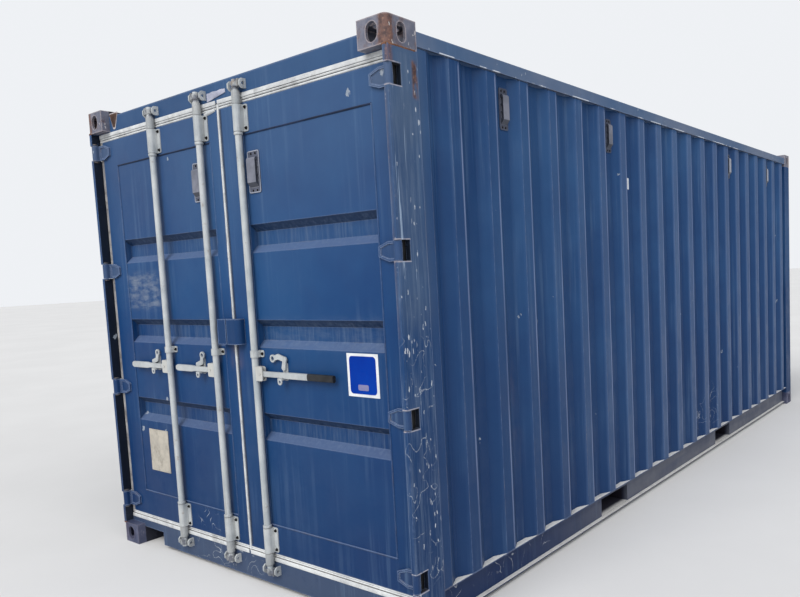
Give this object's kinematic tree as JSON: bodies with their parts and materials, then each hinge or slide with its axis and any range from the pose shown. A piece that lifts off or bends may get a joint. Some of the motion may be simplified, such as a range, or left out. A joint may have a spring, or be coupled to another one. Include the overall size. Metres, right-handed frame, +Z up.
{
  "type": "shipping container",
  "caption": "Steel shipping container with ribbed double end doors, lock rods with handles, folded side walls, corner castings, forklift pockets and a boarded floor.",
  "frame": {"origin": "middle of the base, on the plane of the bottom corner castings' lower faces", "axes": "+Z up, +Y along the length towards the closed end, +X to the right of a viewer facing the doors"},
  "size_m": [2.438, 6.058, 2.591],
  "materials": {
    "frame_paint": "worn semi-matt paint",
    "base_paint": "worn matt paint",
    "door_paint": "worn semi-matt paint",
    "casting_steel": "weathered paint over rusty cast steel",
    "galvanised": "dull galvanised steel with pale paint",
    "vent_plastic": "weathered",
    "seal_rubber": "chalky worn rubber",
    "grip_rubber": "matt",
    "floor_wood": "worn plywood",
    "pin_steel": "bare steel",
    "data_plate": "weathered blank plate"
  },
  "bodies": {
    "container_frame": {"top_corner_castings": "casting_steel", "bottom_corner_castings": "casting_steel", "left_rear_post": "frame_paint", "right_rear_post": "frame_paint", "front_corner_posts": "frame_paint", "rear_header": "frame_paint", "rear_sill": "base_paint", "front_end_beams": "frame_paint", "top_side_rails": "frame_paint", "left_bottom_rail": "base_paint", "right_bottom_rail": "base_paint", "left_side_wall": "frame_paint", "right_side_wall": "frame_paint", "front_wall": "frame_paint", "roof_panel": "frame_paint", "floor_boards": "floor_wood", "cross_members": "base_paint", "forklift_pockets": "base_paint", "hinge_pins": "pin_steel", "rod_keepers": "galvanised", "wall_vents": "vent_plastic"},
    "left_door": {"left_door_frame": "door_paint", "left_door_panel": "door_paint", "left_door_gasket": "seal_rubber", "left_hinge_blades": "door_paint", "left_rod_guides": "galvanised", "left_handle_retainers": "galvanised", "left_door_vent": "vent_plastic", "left_data_plate": "data_plate", "left_lock_box": "door_paint"},
    "right_door": {"right_door_frame": "door_paint", "right_door_panel": "door_paint", "right_door_gasket": "seal_rubber", "right_hinge_blades": "door_paint", "right_rod_guides": "galvanised", "right_handle_retainer": "galvanised", "right_door_vent": "vent_plastic", "right_lock_box": "door_paint"},
    "left_outer_rod": {"left_outer_rod": "galvanised"},
    "left_inner_rod": {"left_inner_rod": "galvanised"},
    "right_rod": {"right_rod": "galvanised"},
    "left_outer_handle": {"left_outer_handle": "galvanised"},
    "left_inner_handle": {"left_inner_handle": "galvanised"},
    "right_handle": {"right_handle": "galvanised", "right_handle_grip": "grip_rubber"}
  },
  "joints": [
    {"name": "left_door_hinge", "type": "hinge", "parent": "container_frame", "child": "left_door", "pos_m": [-1.199, -3.009, 0.265], "axis": [0, 0, -1], "range_deg": [0, 260]},
    {"name": "right_door_hinge", "type": "hinge", "parent": "container_frame", "child": "right_door", "pos_m": [1.199, -3.009, 0.265], "axis": [0, 0, 1], "range_deg": [0, 260]},
    {"name": "left_outer_rod_turn", "type": "hinge", "parent": "left_door", "child": "left_outer_rod", "pos_m": [-0.577, -3.007, 1.112], "axis": [0, 0, -1], "range_deg": [-95, 0]},
    {"name": "left_outer_handle_lift", "type": "hinge", "parent": "left_outer_rod", "child": "left_outer_handle", "pos_m": [-0.621, -3.007, 1.112], "axis": [0, 1, 0], "range_deg": [0, 20]},
    {"name": "left_inner_rod_turn", "type": "hinge", "parent": "left_door", "child": "left_inner_rod", "pos_m": [-0.131, -3.007, 1.112], "axis": [0, 0, -1], "range_deg": [-95, 0]},
    {"name": "left_inner_handle_lift", "type": "hinge", "parent": "left_inner_rod", "child": "left_inner_handle", "pos_m": [-0.175, -3.007, 1.112], "axis": [0, 1, 0], "range_deg": [0, 20]},
    {"name": "right_rod_turn", "type": "hinge", "parent": "right_door", "child": "right_rod", "pos_m": [0.2, -3.007, 1.112], "axis": [0, 0, 1], "range_deg": [-95, 0]},
    {"name": "right_handle_lift", "type": "hinge", "parent": "right_rod", "child": "right_handle", "pos_m": [0.244, -3.007, 1.112], "axis": [0, -1, 0], "range_deg": [0, 20]}
  ]
}
